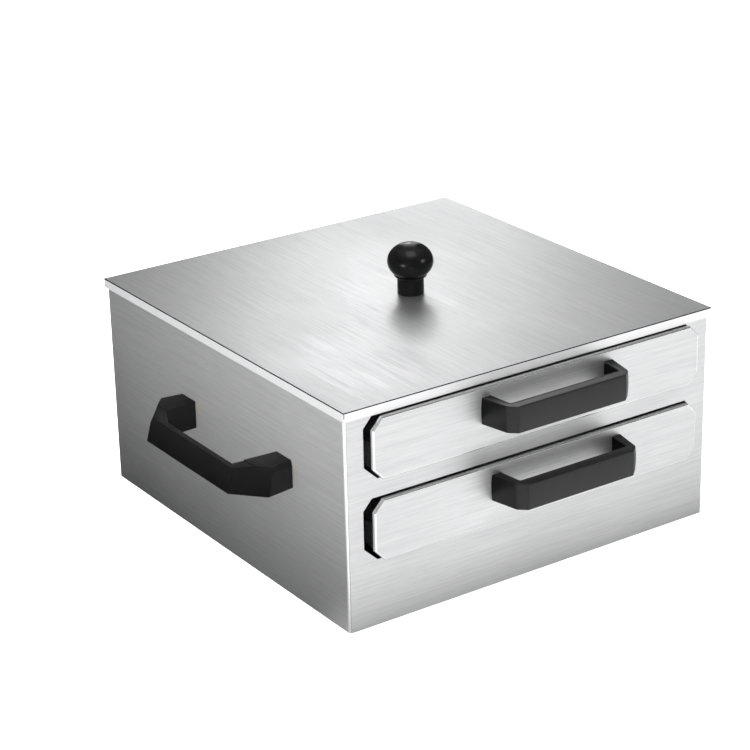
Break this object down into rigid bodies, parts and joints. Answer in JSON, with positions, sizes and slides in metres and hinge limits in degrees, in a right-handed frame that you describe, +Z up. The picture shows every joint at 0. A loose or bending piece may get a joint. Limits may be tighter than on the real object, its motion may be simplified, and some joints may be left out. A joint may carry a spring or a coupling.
{
  "type": "rice noodle roll steamer",
  "caption": "Square stainless stove-top steamer with sliding batter trays behind octagonal fronts, a lift-off lid with ball knob, side grips and a water pan base.",
  "frame": {"origin": "centre of the flat base, midway between the side walls and midway between the front panel and the back wall", "axes": "+Z up, -Y towards the drawer fronts, +X to the right seen from the front"},
  "size_m": [0.428, 0.3875, 0.2177],
  "materials": {
    "brushed_stainless": "brushed stainless sheet",
    "plain_stainless": "plain mill-finish stainless sheet",
    "black_bakelite": "black moulded bakelite, satin gloss",
    "zinc_steel": "zinc-plated steel",
    "brass": "turned brass"
  },
  "bodies": {
    "cabinet": {"cabinet_wrap": "brushed_stainless", "front_panel": "brushed_stainless", "water_pan": "plain_stainless", "upper_left_runner": "plain_stainless", "upper_right_runner": "plain_stainless", "lower_left_runner": "plain_stainless", "lower_right_runner": "plain_stainless", "left_side_handle": "black_bakelite", "right_side_handle": "black_bakelite", "side_handle_inserts": "brass", "side_handle_washers": "zinc_steel", "side_handle_screws": "zinc_steel"},
    "upper_drawer": {"upper_drawer_face": "brushed_stainless", "upper_tray": "plain_stainless", "upper_drawer_handle": "black_bakelite", "upper_handle_inserts": "brass", "upper_handle_washers": "zinc_steel", "upper_handle_screws": "zinc_steel"},
    "lower_drawer": {"lower_drawer_face": "brushed_stainless", "lower_tray": "plain_stainless", "lower_drawer_handle": "black_bakelite", "lower_handle_inserts": "brass", "lower_handle_washers": "zinc_steel", "lower_handle_screws": "zinc_steel"},
    "lid": {"lid_panel": "brushed_stainless", "lid_knob": "black_bakelite", "knob_insert": "brass", "knob_washer": "zinc_steel", "knob_screw": "zinc_steel"}
  },
  "joints": [
    {"name": "upper_drawer_slide", "type": "slide", "parent": "cabinet", "child": "upper_drawer", "axis": [0, -1, 0], "range_m": [0, 0.26]},
    {"name": "lower_drawer_slide", "type": "slide", "parent": "cabinet", "child": "lower_drawer", "axis": [0, -1, 0], "range_m": [0, 0.26]},
    {"name": "lid_lift", "type": "slide", "parent": "cabinet", "child": "lid", "axis": [0, 0, 1], "range_m": [0, 0.15]}
  ]
}
